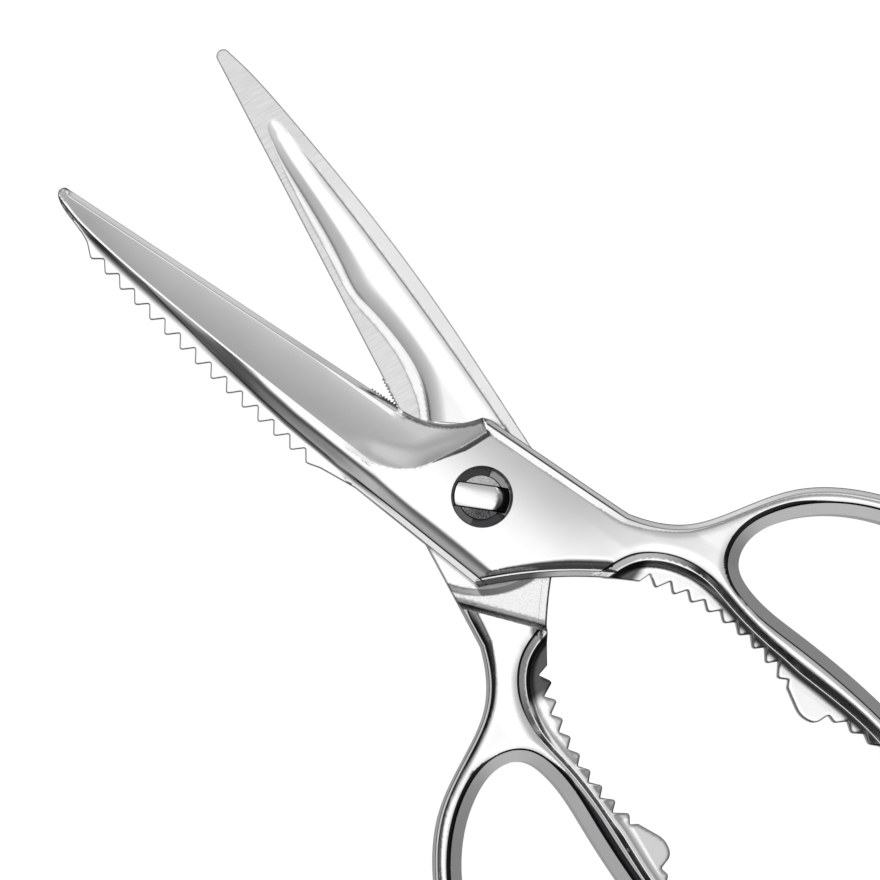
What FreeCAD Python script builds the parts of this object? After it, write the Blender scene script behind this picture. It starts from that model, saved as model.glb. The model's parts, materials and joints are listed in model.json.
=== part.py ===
"""Take-apart poultry shears, all stainless steel: two forged halves and the pivot stud that joins them.

Frame: +X along the centre line towards the blade tips, +Z up, origin on the pivot axis, at the flat outer face of
the back half's boss, on which the shears lie. Units are millimetres.

Each half is drawn in its own frame: u from the pivot to the blade tip, v across, with the cutting edge and the
finger bow on the -v side, and w outwards from the plane in which the halves slide on each other. The back half is
the same forging turned half a turn about u, with no scaling teeth. Each half is then opened by REST_OPENING / 2.
"""

import FreeCAD, Part
import math
import os

Vector = FreeCAD.Vector
UP = Vector(0, 0, 1)

# Driving dimensions
REST_OPENING = 24.0  # angle between the tip lines at rest, degrees
THICKNESS = 4.4  # one half at the pivot; a bow reaches this far on both sides of the sliding plane
SLIDING_GAP = 0.1  # between the halves' sliding faces
JAW_HALF = 1.4  # the nutcracker flange, on each side of the sliding plane
SHOULDER = 19.7  # from the pivot axis to the step up from boss to handle
SHOULDER_ANGLE = 225.0  # direction of the step's normal in the half's frame, degrees

# Blade section: heights above the sliding plane
EDGE_HEIGHT = 0.3
BEVEL_HEIGHT = 1.1
BEVEL_WIDTH = 1.1
RIDGE_HEIGHT_HEEL, RIDGE_HEIGHT_TIP = 3.7, 1.8
SPINE_HEIGHT = 1.5
STATIONS = (3.0, 21.0, 36.0, 50.0, 64.0, 78.0, 97.0)  # u of the blade's drawn sections
HOLLOW_DEPTH = 0.5
OVERLAP = 9.0  # how far the drawn sections reach past the outline on the edge's side

# Blade outline and lines, (u, v)
SPINE = ((15.0, 12.5), (36.0, 11.2), (56.0, 8.9), (75.6, 5.65), (86.3, 3.6), (91.3, 2.4), (95.2, 1.2))
TIP = ((95.2, 1.2), (96.5, 0.0), (95.4, -1.4))
EDGE = ((95.4, -1.4), (22.0, -4.7))
HEEL = ((22.0, -4.7), (14.6, -6.6), (8.6, -12.2))
RIDGE = ((20.5, 7.2), (46.3, 5.95), (58.6, 5.25), (72.0, 4.4), (85.8, 3.05), (91.5, 2.05), (94.8, 1.1))
SPINE_STRIP = 1.25  # from the cove's foot to the spine
HOLLOW_SPINE_SIDE = ((9.5, 10.6), (42.8, 7.65), (77.0, 3.0))
HOLLOW_EDGE_SIDE = (
    (77.0, 3.0),
    (79.5, 2.4),
    (80.4, 1.6),
    (79.9, 0.7),
    (78.1, 0.05),
    (75.0, -0.35),
    (70.0, -0.4),
    (62.0, -0.2),
    (50.4, -0.45),
    (44.6, -0.7),
    (40.1, 0.2),
    (33.0, 1.5),
    (28.0, 1.85),
    (23.5, 1.4),
    (17.2, -0.9),
)

# Boss and handle outline, (u, v)
SHOULDER_TIP = (7.1, -12.7)
BOSS_CORNER = (-9.4, 13.7)
BOSS_LOW = ((-9.4, 13.7), (-19.5, 4.1), (-33.1, -4.9))
NECK_START, NECK_MIDDLE = (-25.4, -0.6), (-16.5, 6.6)  # on the arc of the boss's low side
FACE_LIMIT = (  # where the boss's face meets the blade's
    (20.5, 7.2),
    (15.3, 4.9),
    (12.1, 2.0),
    (10.5, -1.0),
    (8.4, -5.1),
    (6.2, -10.4),
)
FACE_TIP, FACE_CORNER = (8.5, -12.15), (13.0, 12.6)
BOW_OUTER = (
    (-24.0, -13.7),
    (-27.0, -14.6),
    (-34.2, -18.7),
    (-39.4, -25.4),
    (-46.6, -35.7),
    (-59.0, -43.9),
    (-76.0, -47.8),
    (-94.0, -43.6),
    (-106.0, -32.0),
    (-110.0, -18.0),
    (-107.2, -6.6),
    (-100.0, -0.3),
    (-93.5, -5.0),
    (-85.0, -8.4),
    (-65.7, -9.8),
    (-50.7, -11.6),
    (-41.0, -13.3),
    (-34.2, -11.8),
    (-29.2, -8.0),
    (-26.2, -1.5),
)
BOW_INNER = (
    (-45.0, -21.8),
    (-47.4, -28.6),
    (-55.5, -36.5),
    (-65.1, -40.9),
    (-76.0, -42.4),
    (-90.1, -38.9),
    (-100.4, -29.6),
    (-103.6, -19.0),
    (-98.5, -12.6),
    (-86.0, -12.2),
    (-62.5, -14.2),
    (-50.3, -15.5),
    (-46.3, -17.8),
)

# Rows of teeth: the arc of the valleys, the arc of the tips, the number of tips
SCALER = (((82.55, 5.3), (57.15, 8.9), (31.75, 11.7)), ((84.55, 6.6), (57.25, 11.0), (29.95, 13.8)), 15)
JAW = (((-37.8, -8.3), (-50.0, -9.4), (-62.8, -8.1)), ((-36.1, -5.8), (-50.1, -8.0), (-64.6, -5.6)), 9)
END_TEETH = (((-79.8, -6.6), (-87.7, -6.6)), ((-77.8, -5.0), (-81.6, -5.4), (-89.4, -5.6)), 4)
LOBE_FOOT = ((-66.3, -6.4), (-67.0, -5.0))
LOBE = ((-71.2, -2.35), (-73.9, -2.35), (-75.9, -4.8))
LOBE_VALLEY = (-76.4, -5.4)
JAW_START, JAW_NOTCH = (-27.5, -4.0), (-34.0, -7.4)  # the flange's first corners, beside the boss
JAW_INSIDE = ((-92.0, -7.0), (-86.0, -10.4), (-60.0, -12.5), (-44.0, -14.5), (-34.0, -13.0), (-30.0, -10.0))
SCALER_HEEL = (27.3, 13.1)
SCALER_START = (16.0, 12.3)  # where the scaler's flange leaves the spine
SCALER_TOE = (  # from the edge round the front half's tip to the first tooth
    (95.4, -1.4),
    (96.2, -1.15),
    (96.75, -0.5),
    (96.7, 0.35),
    (95.8, 1.25),
    (94.3, 2.05),
    (91.7, 2.9),
    (88.8, 3.8),
    (87.0, 4.6),
)
SCALER_INSIDE = ((27.3, 10.1), (56.0, 5.9), (87.0, 2.2), (92.5, 1.3), (95.0, 0.2))
TOOTH_FLAT = 0.5

# Pivot
JOURNAL_RADIUS = 4.2
JOURNAL_CLEARANCE = 0.05
COUNTERBORE_RADIUS = 5.65
LEDGE_HEIGHT = 2.2  # the ledge that the T head slides on, above the sliding plane
HEAD_CLEARANCE = 0.06
HEAD_RADIUS = 5.35
HEAD_WIDTH = 4.8
HEAD_TOP = 4.3
HEAD_CROWN = 0.45
HEAD_ANGLE = 40.0  # the T head's long axis, degrees from +X
NOTCH = (-75.0, -1.0)  # the sector that lets the T head through, in the front half's frame, degrees
TAIL_RADIUS = 3.0
RIVET_RADIUS = 4.4
RIVET_DEPTH = 1.2
TAIL_CLEARANCE = 0.02

# Edge breaks
BOW_OUTSIDE_BREAK = 1.2
BOW_INSIDE_BREAK = 1.9

REACH = 200.0  # longer than the shears


def point(uv, w=0.0):
    return Vector(uv[0], uv[1], w)


def line(a, b):
    return Part.LineSegment(point(a), point(b)).toShape()


def arc(ends):
    return Part.Arc(*[point(p) for p in ends]).toShape()


def spline(points, closed=False):
    curve = Part.BSplineCurve()
    curve.interpolate([point(p) for p in points], PeriodicFlag=closed)
    return curve.toShape()


def polyline(corners):
    return [line(a, b) for a, b in zip(corners, corners[1:])]


def polygon(corners):
    return polyline([*corners, corners[0]])


def slab(edges, low, high):
    """What lies inside a closed chain of edges, from height low to height high."""
    face = Part.Face(Part.Wire(edges))
    face.translate(Vector(0, 0, low))
    return face.extrude(Vector(0, 0, high - low))


def spread(ends, count):
    """Evenly spaced points on the arc or the line through two or three points."""
    edge = line(*ends) if len(ends) == 2 else arc(ends)
    first, last = edge.FirstParameter, edge.LastParameter
    steps = [edge.valueAt(first + (last - first) * i / (count - 1)) for i in range(count)]
    return [(p.x, p.y) for p in steps]


def tooth_row(valleys, tips, count):
    """Corners of a row of flat-topped teeth, with one valley fewer than it has tips."""
    corners = []
    lows = spread(valleys, count - 1)
    side = math.copysign(TOOTH_FLAT / 2, tips[0][0] - tips[-1][0])
    for i, (u, v) in enumerate(spread(tips, count)):
        corners += [(u + side, v), (u - side, v)]
        if i < count - 1:
            corners.append(lows[i])
    return corners


def v_at(points, u):
    """Where the smooth curve through the points passes u, or the nearer of its ends."""
    across = line((u, -REACH), (u, REACH))
    return spline(points).distToShape(across)[1][0][0].y


def blade_section(u):
    share = (u - STATIONS[0]) / (STATIONS[-1] - STATIONS[0])
    edge = EDGE[0][1] + (EDGE[1][1] - EDGE[0][1]) * (EDGE[0][0] - u) / (EDGE[0][0] - EDGE[1][0])
    ridge = v_at(RIDGE, u)
    foot = max(v_at(SPINE, u) - SPINE_STRIP, ridge + 0.3)
    spine = foot + OVERLAP
    ridge_height = RIDGE_HEIGHT_HEEL + (RIDGE_HEIGHT_TIP - RIDGE_HEIGHT_HEEL) * share
    corners = [
        (edge - OVERLAP, 0.0),
        (edge - OVERLAP, EDGE_HEIGHT),
        (edge, EDGE_HEIGHT),
        (edge + BEVEL_WIDTH, BEVEL_HEIGHT),
        (ridge, ridge_height),
        (foot, SPINE_HEIGHT),
        (spine, SPINE_HEIGHT),
        (spine, 0.0),
    ]
    return Part.makePolygon([Vector(u, v, w) for v, w in [*corners, corners[0]]])


def outline():
    """The forging seen from above, without its toothed flanges."""
    return [
        line(BOSS_CORNER, SPINE[0]),
        spline(SPINE),
        arc(TIP),
        line(*EDGE),
        arc(HEEL),
        line(HEEL[-1], SHOULDER_TIP),
        line(SHOULDER_TIP, BOW_OUTER[0]),
        spline(BOW_OUTER),
        line(BOW_OUTER[-1], NECK_START),
        arc((NECK_START, NECK_MIDDLE, BOSS_CORNER)),
    ]


def blade():
    sections = [blade_section(u) for u in STATIONS]
    rough = Part.makeLoft(sections, True, True)
    flat = slab(outline(), 0, THICKNESS)
    return rough.common(flat)


def boss_and_handle():
    flat = slab(outline(), 0, THICKNESS)
    far = [(FACE_TIP[0], -REACH), (-REACH, -REACH), (-REACH, REACH), (FACE_CORNER[0], REACH)]
    rest = polyline([FACE_LIMIT[-1], FACE_TIP, *far, FACE_CORNER, FACE_LIMIT[0]])
    keep = slab([spline(FACE_LIMIT), *rest], 0, THICKNESS)
    return flat.common(keep)


def beyond_shoulder():
    """Everything on the handle's side of the shoulder."""
    angle = math.radians(SHOULDER_ANGLE)
    box = Part.makeBox(REACH, 2 * REACH, 2 * THICKNESS, Vector(SHOULDER, -REACH, -THICKNESS))
    box.rotate(Vector(0, 0, 0), UP, math.degrees(angle))
    return box


def handle_below():
    """The handle's part on the other half's side of the sliding plane."""
    return slab(outline(), -THICKNESS, 0).common(beyond_shoulder())


def jaw_flange():
    row = tooth_row(*JAW)
    end_row = tooth_row(*END_TEETH)
    edges = polyline([JAW_START, BOSS_LOW[-1], JAW_NOTCH, *row, *LOBE_FOOT, LOBE[0]])
    edges.append(arc(LOBE))
    edges += polyline([LOBE[-1], LOBE_VALLEY, *end_row, *JAW_INSIDE, JAW_START])
    return slab(edges, -JAW_HALF, JAW_HALF)


def scaler_flange():
    row = tooth_row(*SCALER)
    corners = [*SCALER_TOE, *row, SCALER_HEEL, SCALER_START, *SCALER_INSIDE]
    return slab(polygon(corners), 0, SPINE_HEIGHT)


def hollow():
    edges = [
        spline(HOLLOW_EDGE_SIDE),
        line(HOLLOW_EDGE_SIDE[-1], HOLLOW_SPINE_SIDE[0]),
        arc(HOLLOW_SPINE_SIDE),
    ]
    return slab(edges, -1, HOLLOW_DEPTH)


def bow_edges(shape):
    """The bow's rim edges on its two flat faces, outside and inside, for the edge breaks."""
    outside, inside = [], []
    neck = BOW_OUTER[-2][0]
    outer_curve, inner_curve = spline(BOW_OUTER), spline(BOW_INNER, True)
    for edge in shape.Edges:
        heights = {round(v.Z, 3) for v in edge.Vertexes}
        if len(heights) != 1 or abs(abs(heights.pop()) - THICKNESS) > 0.01:
            continue
        middle = edge.valueAt((edge.FirstParameter + edge.LastParameter) / 2)
        flat = Part.Vertex(Vector(middle.x, middle.y, 0))
        if flat.distToShape(inner_curve)[0] < 0.01:
            inside.append(edge)
        elif flat.distToShape(outer_curve)[0] < 0.01 and middle.x < neck:
            outside.append(edge)
    return outside, inside


def sector(start, end, radius, low, high):
    """A sector of a disc about the pivot, between two directions in degrees."""
    disc = Part.makeCylinder(radius, high - low, Vector(0, 0, low), UP, end - start)
    disc.rotate(Vector(0, 0, 0), UP, start)
    return disc


def forging(with_scaler):
    body = boss_and_handle().fuse(blade()).fuse(handle_below())
    body = body.cut(slab([spline(BOW_INNER, True)], -THICKNESS - 1, THICKNESS + 1))
    body = body.removeSplitter()
    body = body.makeChamfer(BOW_INSIDE_BREAK, bow_edges(body)[1])
    body = body.makeChamfer(BOW_OUTSIDE_BREAK, bow_edges(body)[0])
    body = body.cut(hollow()).fuse(jaw_flange())
    if with_scaler:
        body = body.fuse(scaler_flange())
    return body.removeSplitter()


def front_half():
    """The upper half: it turns on the journal, and holds the T head down in its counterbore."""
    body = forging(True)
    body = body.cut(Part.makeCylinder(JOURNAL_RADIUS + JOURNAL_CLEARANCE, 2 * THICKNESS))
    depth = THICKNESS - LEDGE_HEIGHT + 1
    body = body.cut(Part.makeCylinder(COUNTERBORE_RADIUS, depth, Vector(0, 0, LEDGE_HEIGHT)))
    for turn in (0, 180):
        body = body.cut(sector(NOTCH[0] + turn, NOTCH[1] + turn, COUNTERBORE_RADIUS, -1, LEDGE_HEIGHT + 1))
    body.translate(Vector(0, 0, THICKNESS + SLIDING_GAP))
    body.rotate(Vector(0, 0, 0), UP, REST_OPENING / 2)
    return body


def back_half():
    """The lower half, turned over about u. The stud's tail is riveted through it."""
    body = forging(False)
    body.rotate(Vector(0, 0, 0), Vector(1, 0, 0), 180)
    body.translate(Vector(0, 0, THICKNESS))
    body = body.cut(Part.makeCylinder(TAIL_RADIUS + TAIL_CLEARANCE, THICKNESS))
    body = body.cut(Part.makeCylinder(RIVET_RADIUS + TAIL_CLEARANCE, RIVET_DEPTH))
    body.rotate(Vector(0, 0, 0), UP, -REST_OPENING / 2)
    return body


def pivot_stud():
    """Tail and riveted end in the back half, journal in the front half's bore, T head over its ledges."""
    face = THICKNESS + SLIDING_GAP
    head_low = face + LEDGE_HEIGHT + HEAD_CLEARANCE
    head_top = face + HEAD_TOP
    head = Part.makeCylinder(HEAD_RADIUS, head_top - head_low, Vector(0, 0, head_low))
    head = head.common(
        Part.makeBox(2 * HEAD_RADIUS, HEAD_WIDTH, head_top, Vector(-HEAD_RADIUS, -HEAD_WIDTH / 2, 0))
    )
    crown = (HEAD_RADIUS**2 + HEAD_CROWN**2) / (2 * HEAD_CROWN)
    roll = Part.makeCylinder(crown, HEAD_WIDTH, Vector(0, -HEAD_WIDTH / 2, head_top - crown), Vector(0, 1, 0))
    head = head.common(roll)
    head.rotate(Vector(0, 0, 0), UP, HEAD_ANGLE)
    stud = Part.makeCylinder(RIVET_RADIUS, RIVET_DEPTH)
    stud = stud.fuse(Part.makeCylinder(TAIL_RADIUS, THICKNESS))
    stud = stud.fuse(Part.makeCylinder(JOURNAL_RADIUS, head_low - THICKNESS, Vector(0, 0, THICKNESS)))
    return stud.fuse(head).removeSplitter()


def main():
    os.makedirs("parts", exist_ok=True)
    pieces = {"front_half": front_half(), "back_half": back_half(), "pivot_stud": pivot_stud()}
    for name, shape in pieces.items():
        box = shape.BoundBox
        print(name, shape.isValid(), len(shape.Solids), round(shape.Volume), box)
        shape.exportStep(f"parts/{name}.step")


main()
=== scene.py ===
"""The looks of a pair of take-apart poultry shears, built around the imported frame.

Each forging is one closed mesh. It is drawn in its own frame, in millimetres: u from the pivot to the
blade tip, v across, with the cutting edge and the finger bow on the -v side, and w outwards from the
sliding plane. Its outer and inner surfaces are heights over (u, v), worked out from the distances to its
outlines and creases.
"""

import json
import math
from types import SimpleNamespace

import bpy
import numpy as np
from mathutils import Matrix, Vector
from mathutils.geometry import delaunay_2d_cdt
from mathutils.kdtree import KDTree


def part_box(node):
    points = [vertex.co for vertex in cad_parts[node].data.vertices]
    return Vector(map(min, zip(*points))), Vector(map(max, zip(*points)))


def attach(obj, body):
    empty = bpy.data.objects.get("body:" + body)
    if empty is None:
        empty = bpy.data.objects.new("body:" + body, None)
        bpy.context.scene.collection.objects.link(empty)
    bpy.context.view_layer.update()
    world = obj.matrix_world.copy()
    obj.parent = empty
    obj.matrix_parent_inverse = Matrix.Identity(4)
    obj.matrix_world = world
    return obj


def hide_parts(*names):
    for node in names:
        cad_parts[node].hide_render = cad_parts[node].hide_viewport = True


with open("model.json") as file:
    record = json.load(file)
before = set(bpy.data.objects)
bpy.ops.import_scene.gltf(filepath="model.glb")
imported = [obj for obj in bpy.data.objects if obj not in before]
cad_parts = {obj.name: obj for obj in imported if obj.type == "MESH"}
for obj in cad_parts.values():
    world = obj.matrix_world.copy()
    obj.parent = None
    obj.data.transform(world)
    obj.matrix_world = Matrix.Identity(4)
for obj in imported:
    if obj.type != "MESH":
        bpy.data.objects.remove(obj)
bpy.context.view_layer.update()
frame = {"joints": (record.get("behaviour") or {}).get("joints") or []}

MM = 0.001

# The frame's driving sizes, in millimetres
half_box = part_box("front_half")
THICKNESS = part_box("back_half")[1][2] / MM / 2
SLIDING_GAP = half_box[1][2] / MM - 2 * THICKNESS
REST_OPENING = -frame["joints"][0]["range_deg"][0]

# Outline and lines, (u, v)
SPINE = ((15.0, 12.5), (36.0, 11.2), (56.0, 8.9), (75.6, 5.65), (86.3, 3.6), (91.3, 2.4), (95.2, 1.2))
TIP = ((95.2, 1.2), (96.5, 0.0), (95.4, -1.4))
EDGE = ((95.4, -1.4), (22.0, -4.7))
SERRATIONS, SERRATION_DEPTH = (22.5, 28.6), 0.4  # range of u, near the heel
HEEL = ((22.0, -4.7), (14.6, -6.6), (8.6, -12.2))
RIDGE = ((20.5, 7.2), (46.3, 5.95), (58.6, 5.25), (72.0, 4.4), (85.8, 3.05), (91.5, 2.05), (94.8, 1.1))
SHOULDER_TIP = (7.1, -12.7)
BOSS_CORNER = (-9.4, 13.7)
NECK_START = (-25.4, -0.6)
BOSS_LOW = ((-9.4, 13.7), (-19.5, 4.1), (-33.1, -4.9))
FACE_LIMIT = ((20.5, 7.2), (15.3, 4.9), (12.1, 2.0), (10.5, -1.0), (8.4, -5.1), (6.2, -10.4))
FACE_TIP = (8.5, -12.15)
BOW_OUTER = (
    (-24.0, -13.7), (-27.0, -14.6), (-34.2, -18.7), (-39.4, -25.4), (-46.6, -35.7), (-59.0, -43.9),
    (-76.0, -47.8), (-94.0, -43.6), (-106.0, -32.0), (-110.0, -18.0), (-107.2, -6.6), (-100.0, -0.3),
    (-93.5, -5.0), (-85.0, -8.4), (-65.7, -9.8), (-50.7, -11.6), (-41.0, -13.3), (-34.2, -11.8),
    (-29.2, -8.0), (-26.2, -1.5),
)
BOW_INNER = (
    (-45.0, -21.8), (-47.4, -28.6), (-55.5, -36.5), (-65.1, -40.9), (-76.0, -42.4), (-90.1, -38.9),
    (-100.4, -29.6), (-103.6, -19.0), (-98.5, -12.6), (-86.0, -12.2), (-62.5, -14.2), (-50.3, -15.5),
    (-46.3, -17.8),
)
POCKET_FROM = (-93.5, -5.0)
BOW_HEAD, BOW_CROTCH = (-42.0, -26.0), (-43.6, -17.0)  # where the bow meets the neck
HOLLOW_EDGE_SIDE = (
    (77.0, 3.0), (79.5, 2.4), (80.4, 1.6), (79.9, 0.7), (78.1, 0.05), (75.0, -0.35), (70.0, -0.4),
    (62.0, -0.2), (50.4, -0.45), (44.6, -0.7), (40.1, 0.2), (33.0, 1.5), (28.0, 1.85), (23.5, 1.4),
    (17.2, -0.9),
)
HOLLOW_SPINE_SIDE = ((9.5, 10.6), (42.8, 7.65), (77.0, 3.0))
HOLLOW_END = 80.4
SPINE_LINE_START = (5.0, 10.9)  # where the line along the hollow's spine side begins, under the front half
GROUND_LIMIT = (  # where the ground strip along the edge ends
    (77.0, -0.4), (73.0, -0.85), (68.5, -1.2), (59.6, -1.6), (50.3, -1.95), (45.0, -2.15), (38.1, -0.95),
    (33.1, -0.2), (29.2, -0.05), (24.5, -0.5), (20.3, -1.4), (17.0, -3.0),
)

# Rows of teeth: the arc of the valleys, the arc of the tips, the number of tips
SCALER = (((82.55, 5.3), (57.15, 8.9), (31.75, 11.7)), ((84.55, 6.6), (57.25, 11.0), (29.95, 13.8)), 15)
JAW = (((-37.8, -8.3), (-50.0, -9.4), (-62.8, -8.1)), ((-36.1, -5.8), (-50.1, -8.0), (-64.6, -5.6)), 9)
END_TEETH = (((-79.8, -6.6), (-87.7, -6.6)), ((-77.8, -5.0), (-81.6, -5.4), (-89.4, -5.6)), 4)
LOBE = ((-66.3, -6.4), (-67.0, -5.0), (-71.9, -2.1), (-75.1, -2.5), (-76.1, -5.1))
SCALER_ROOT, SCALER_HEEL = (20.0, 12.25), (27.3, 13.1)
SCALER_TOE = (
    (87.0, 4.6), (88.8, 3.8), (91.7, 2.9), (94.3, 2.05), (95.8, 1.25), (96.7, 0.35), (96.75, -0.5),
    (96.2, -1.15), (95.4, -1.4),
)
TOOTH_FLAT = 0.5
JAW_FOOT, END_FOOT = (-33.9, -7.2), (-76.4, -5.4)  # where each row rises from the flange
END_TEETH_STOP, PAD_END = (-92.5, -6.0), (-92.5, -5.6)

# Heights over the sliding plane, and the widths and radii that go with them
EDGE_HEIGHT = 0.25
BEVEL_HEIGHT, BEVEL_WIDTH = 1.05, 1.1
RIDGE_HEEL, RIDGE_TIP = 3.65, 1.75
SPINE_HEIGHT = 1.45
JAW_HEIGHT = 1.35
SHOULDER, SHOULDER_DRAFT = 19.75, 1.2
RECESS = (16.9, 18.2)  # radii of the shallow recess round the boss's inner face
HOLLOW_DEPTH = 0.5
FLANK_HOLLOW = 1.6
CROWN_EDGE_SIDE, CROWN_SPINE_SIDE = 0.006, 0.004
STRIP_WIDTH = 1.25  # the strip along the spine and round the boss
COUNTERBORE_RADIUS, LEDGE_HEIGHT, BORE_RADIUS = 5.65, 2.2, 4.25
NOTCHES, NOTCH_RADIUS = (-75.0, -1.0), 5.56  # degrees, and the bore's radius there
TAIL_RADIUS, RIVET_RADIUS, RIVET_DEPTH = 3.02, 4.42, 1.2
HEAD_RADIUS, HEAD_HALF_WIDTH, HEAD_ANGLE = 5.33, 2.38, 40.0
HEAD_LOW, HEAD_TOP = LEDGE_HEIGHT + 0.06, 4.28
HEAD_SLOPE = ((-2.2, 2.35), (-2.95, 0.0), (-2.2, -2.35))  # where one end of the head starts to slope
SHANK_SIDES = 72
EDGE_BREAK = 0.14
FIT = 0.9999  # keeps the outlines within the frame's box

STEP = 0.32  # spacing of the mesh along outlines
GRID = 0.46  # spacing of the mesh inside
GRID_FROM, GRID_TO = (-112, -49), (98, 15.5)  # corners of an area round the outline
CREASE_ROOM, LOOSE_ROOM = 0.03, 0.11  # least distances: creases to outlines, other points to creases
LONGEST_EDGE = 1.2  # a crease is broken where its points lie further apart
# "dark" carries painted shade and painted reflections, and makes the ground and stippled flats a little
# darker
MARKS = ("dark", "satin", "ground", "stipple")  # what the vertices tell the steel
# Offsets from the lines at which rows of loose points run beside them
RIM_ROW = -0.32
OUTER_ROWS = (-0.4, -1.3, -1.8, -2.5)
HOLE_ROWS = (0.5, 1.0, 1.5, 2.5, 2.9)
POCKET_ROWS = (-0.3, -0.12, 0.12, 0.4, 1.9, 2.4, 2.9)


# ---- plane geometry


def arc(ends, step=STEP):
    """Points along the arc through three points."""
    a, m, b = (complex(*p) for p in ends)
    w = (m - a) / (b - a)
    c = (b - a) * (w - abs(w) ** 2) / (w - w.conjugate()) + a
    r = abs(a - c)
    turn = [(np.angle((q - c) / (a - c))) for q in (m, b)]
    if abs(turn[1]) < abs(turn[0]) or turn[0] * turn[1] < 0:
        turn[1] += math.copysign(2 * math.pi, turn[0])
    count = max(3, int(abs(turn[1]) * r / step) + 1)
    z = c + (a - c) * np.exp(1j * np.linspace(0, turn[1], count))
    return np.column_stack([z.real, z.imag])


def straight(a, b, step=STEP):
    a, b = np.array(a), np.array(b)
    count = max(2, int(np.linalg.norm(b - a) / step) + 1)
    return a + (b - a) * np.linspace(0, 1, count)[:, None]


def spline(points, closed=False, step=STEP):
    """Points along the smooth cubic curve through the given ones."""
    p = np.array(points)
    if closed:
        p = wrapped(p)
    n = len(p)
    t = np.concatenate([[0], np.cumsum(np.linalg.norm(np.diff(p, axis=0), axis=1))])
    h = np.diff(t)
    a = np.zeros((n, n))
    b = np.zeros((n, 2))
    for i in range(1, n - 1):
        a[i, i - 1 : i + 2] = h[i - 1], 2 * (h[i - 1] + h[i]), h[i]
        b[i] = 6 * ((p[i + 1] - p[i]) / h[i] - (p[i] - p[i - 1]) / h[i - 1])
    if closed:
        a[0, 0], a[0, -1] = 1, -1
        a[-1, 0], a[-1, 1], a[-1, -2], a[-1, -1] = 2 * h[0], h[0], h[-1], 2 * h[-1]
        b[-1] = 6 * ((p[1] - p[0]) / h[0] - (p[-1] - p[-2]) / h[-1])
    else:
        a[0, 0], a[-1, -1] = 1, 1
    m = np.linalg.solve(a, b)
    s = np.linspace(0, t[-1], int(t[-1] / step) + 1)
    i = np.clip(np.searchsorted(t, s, side="right") - 1, 0, n - 2)
    x, y = (s - t[i])[:, None], (t[i + 1] - s)[:, None]
    k = h[i][:, None]
    out = (m[i] * y**3 + m[i + 1] * x**3) / (6 * k)
    out += (p[i] / k - m[i] * k / 6) * y + (p[i + 1] / k - m[i + 1] * k / 6) * x
    return out[:-1] if closed else out


def chain(*lines):
    """One polyline from several that follow each other."""
    points = np.vstack(lines)
    keep = np.concatenate([[True], np.linalg.norm(np.diff(points, axis=0), axis=1) > 0.02])
    return points[keep]


def spread(ends, count):
    line = straight(*ends, 0.02) if len(ends) == 2 else arc(ends, 0.02)
    return line[np.linspace(0, len(line) - 1, count).astype(int)]


def tooth_row(valleys, tips, count):
    """Corners of a row of flat-topped teeth, with one valley fewer than it has tips."""
    lows = spread(valleys, count - 1)
    side = math.copysign(TOOTH_FLAT / 2, tips[0][0] - tips[-1][0])
    corners = []
    for i, (u, v) in enumerate(spread(tips, count)):
        corners += [(u + side, v), (u - side, v)]
        if i < count - 1:
            corners.append(tuple(lows[i]))
    return corners


def rounded(corners, radius):
    """The corners' polyline with each inner corner cut round."""
    points = [np.array(corners[0])]
    for a, b, c in zip(corners, corners[1:], corners[2:]):
        a, b, c = np.array(a), np.array(b), np.array(c)
        before, after = np.linalg.norm(b - a), np.linalg.norm(c - b)
        start = b + (a - b) * min(radius / before, 0.45)
        end = b + (c - b) * min(radius / after, 0.45)
        for t in (0, 0.25, 0.5, 0.75, 1):
            points.append((1 - t) ** 2 * start + 2 * t * (1 - t) * b + t**2 * end)
    points.append(np.array(corners[-1]))
    dense = [straight(a, b) for a, b in zip(points, points[1:])]
    return chain(*dense)


def curve(points, step=STEP):
    """Points along the arc through three points, or the smooth curve through more."""
    return arc(points, step) if len(points) == 3 else spline(points, step=step)


def closest(line, point):
    """Index of the polyline's point that is nearest to one point."""
    return int(np.argmin(np.linalg.norm(line - point, axis=1)))


def polar(radius, angles):
    return radius * np.column_stack([np.cos(angles), np.sin(angles)])


def wrapped(line):
    """The polyline with its first point once more at its end."""
    return np.vstack([line, line[:1]])


def nearest(points, line):
    """Index of the polyline's point that is nearest to each point."""
    tree = KDTree(len(line))
    for i, (u, v) in enumerate(line):
        tree.insert((u, v, 0), i)
    tree.balance()
    return np.fromiter((tree.find((u, v, 0))[1] for u, v in points.tolist()), int, len(points))


def distance(points, line, closed=False):
    """Distance from each point to a polyline."""
    near = nearest(points, line)
    n = len(line)
    best = np.full(len(points), np.inf)
    for back in (1, 0):
        i = near - back
        if closed:
            a, b = line[i % n], line[(i + 1) % n]
        else:
            a, b = line[np.clip(i, 0, n - 2)], line[np.clip(i, 0, n - 2) + 1]
        d = b - a
        t = np.clip(((points - a) * d).sum(1) / np.maximum((d**2).sum(1), 1e-12), 0, 1)
        best = np.minimum(best, np.linalg.norm(points - a - t[:, None] * d, axis=1))
    return best


def inside(points, polygon):
    a, b = polygon, np.roll(polygon, -1, axis=0)
    low, high = np.minimum(a[:, 1], b[:, 1]), np.maximum(a[:, 1], b[:, 1])
    order = np.argsort(points[:, 1])
    out = np.zeros(len(points), bool)
    for i in range(0, len(points), 1000):
        part = order[i : i + 1000]
        u, v = points[part, 0:1], points[part, 1:2]
        near = (low <= v[-1]) & (high >= v[0])
        p, q = a[near], b[near]
        crosses = (p[:, 1] > v) != (q[:, 1] > v)
        rise = np.where(q[:, 1] == p[:, 1], 1e-12, q[:, 1] - p[:, 1])
        at = p[:, 0] + (v - p[:, 1]) * (q[:, 0] - p[:, 0]) / rise
        out[part] = (crosses & (u < at)).sum(1) % 2 == 1
    return out


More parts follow.
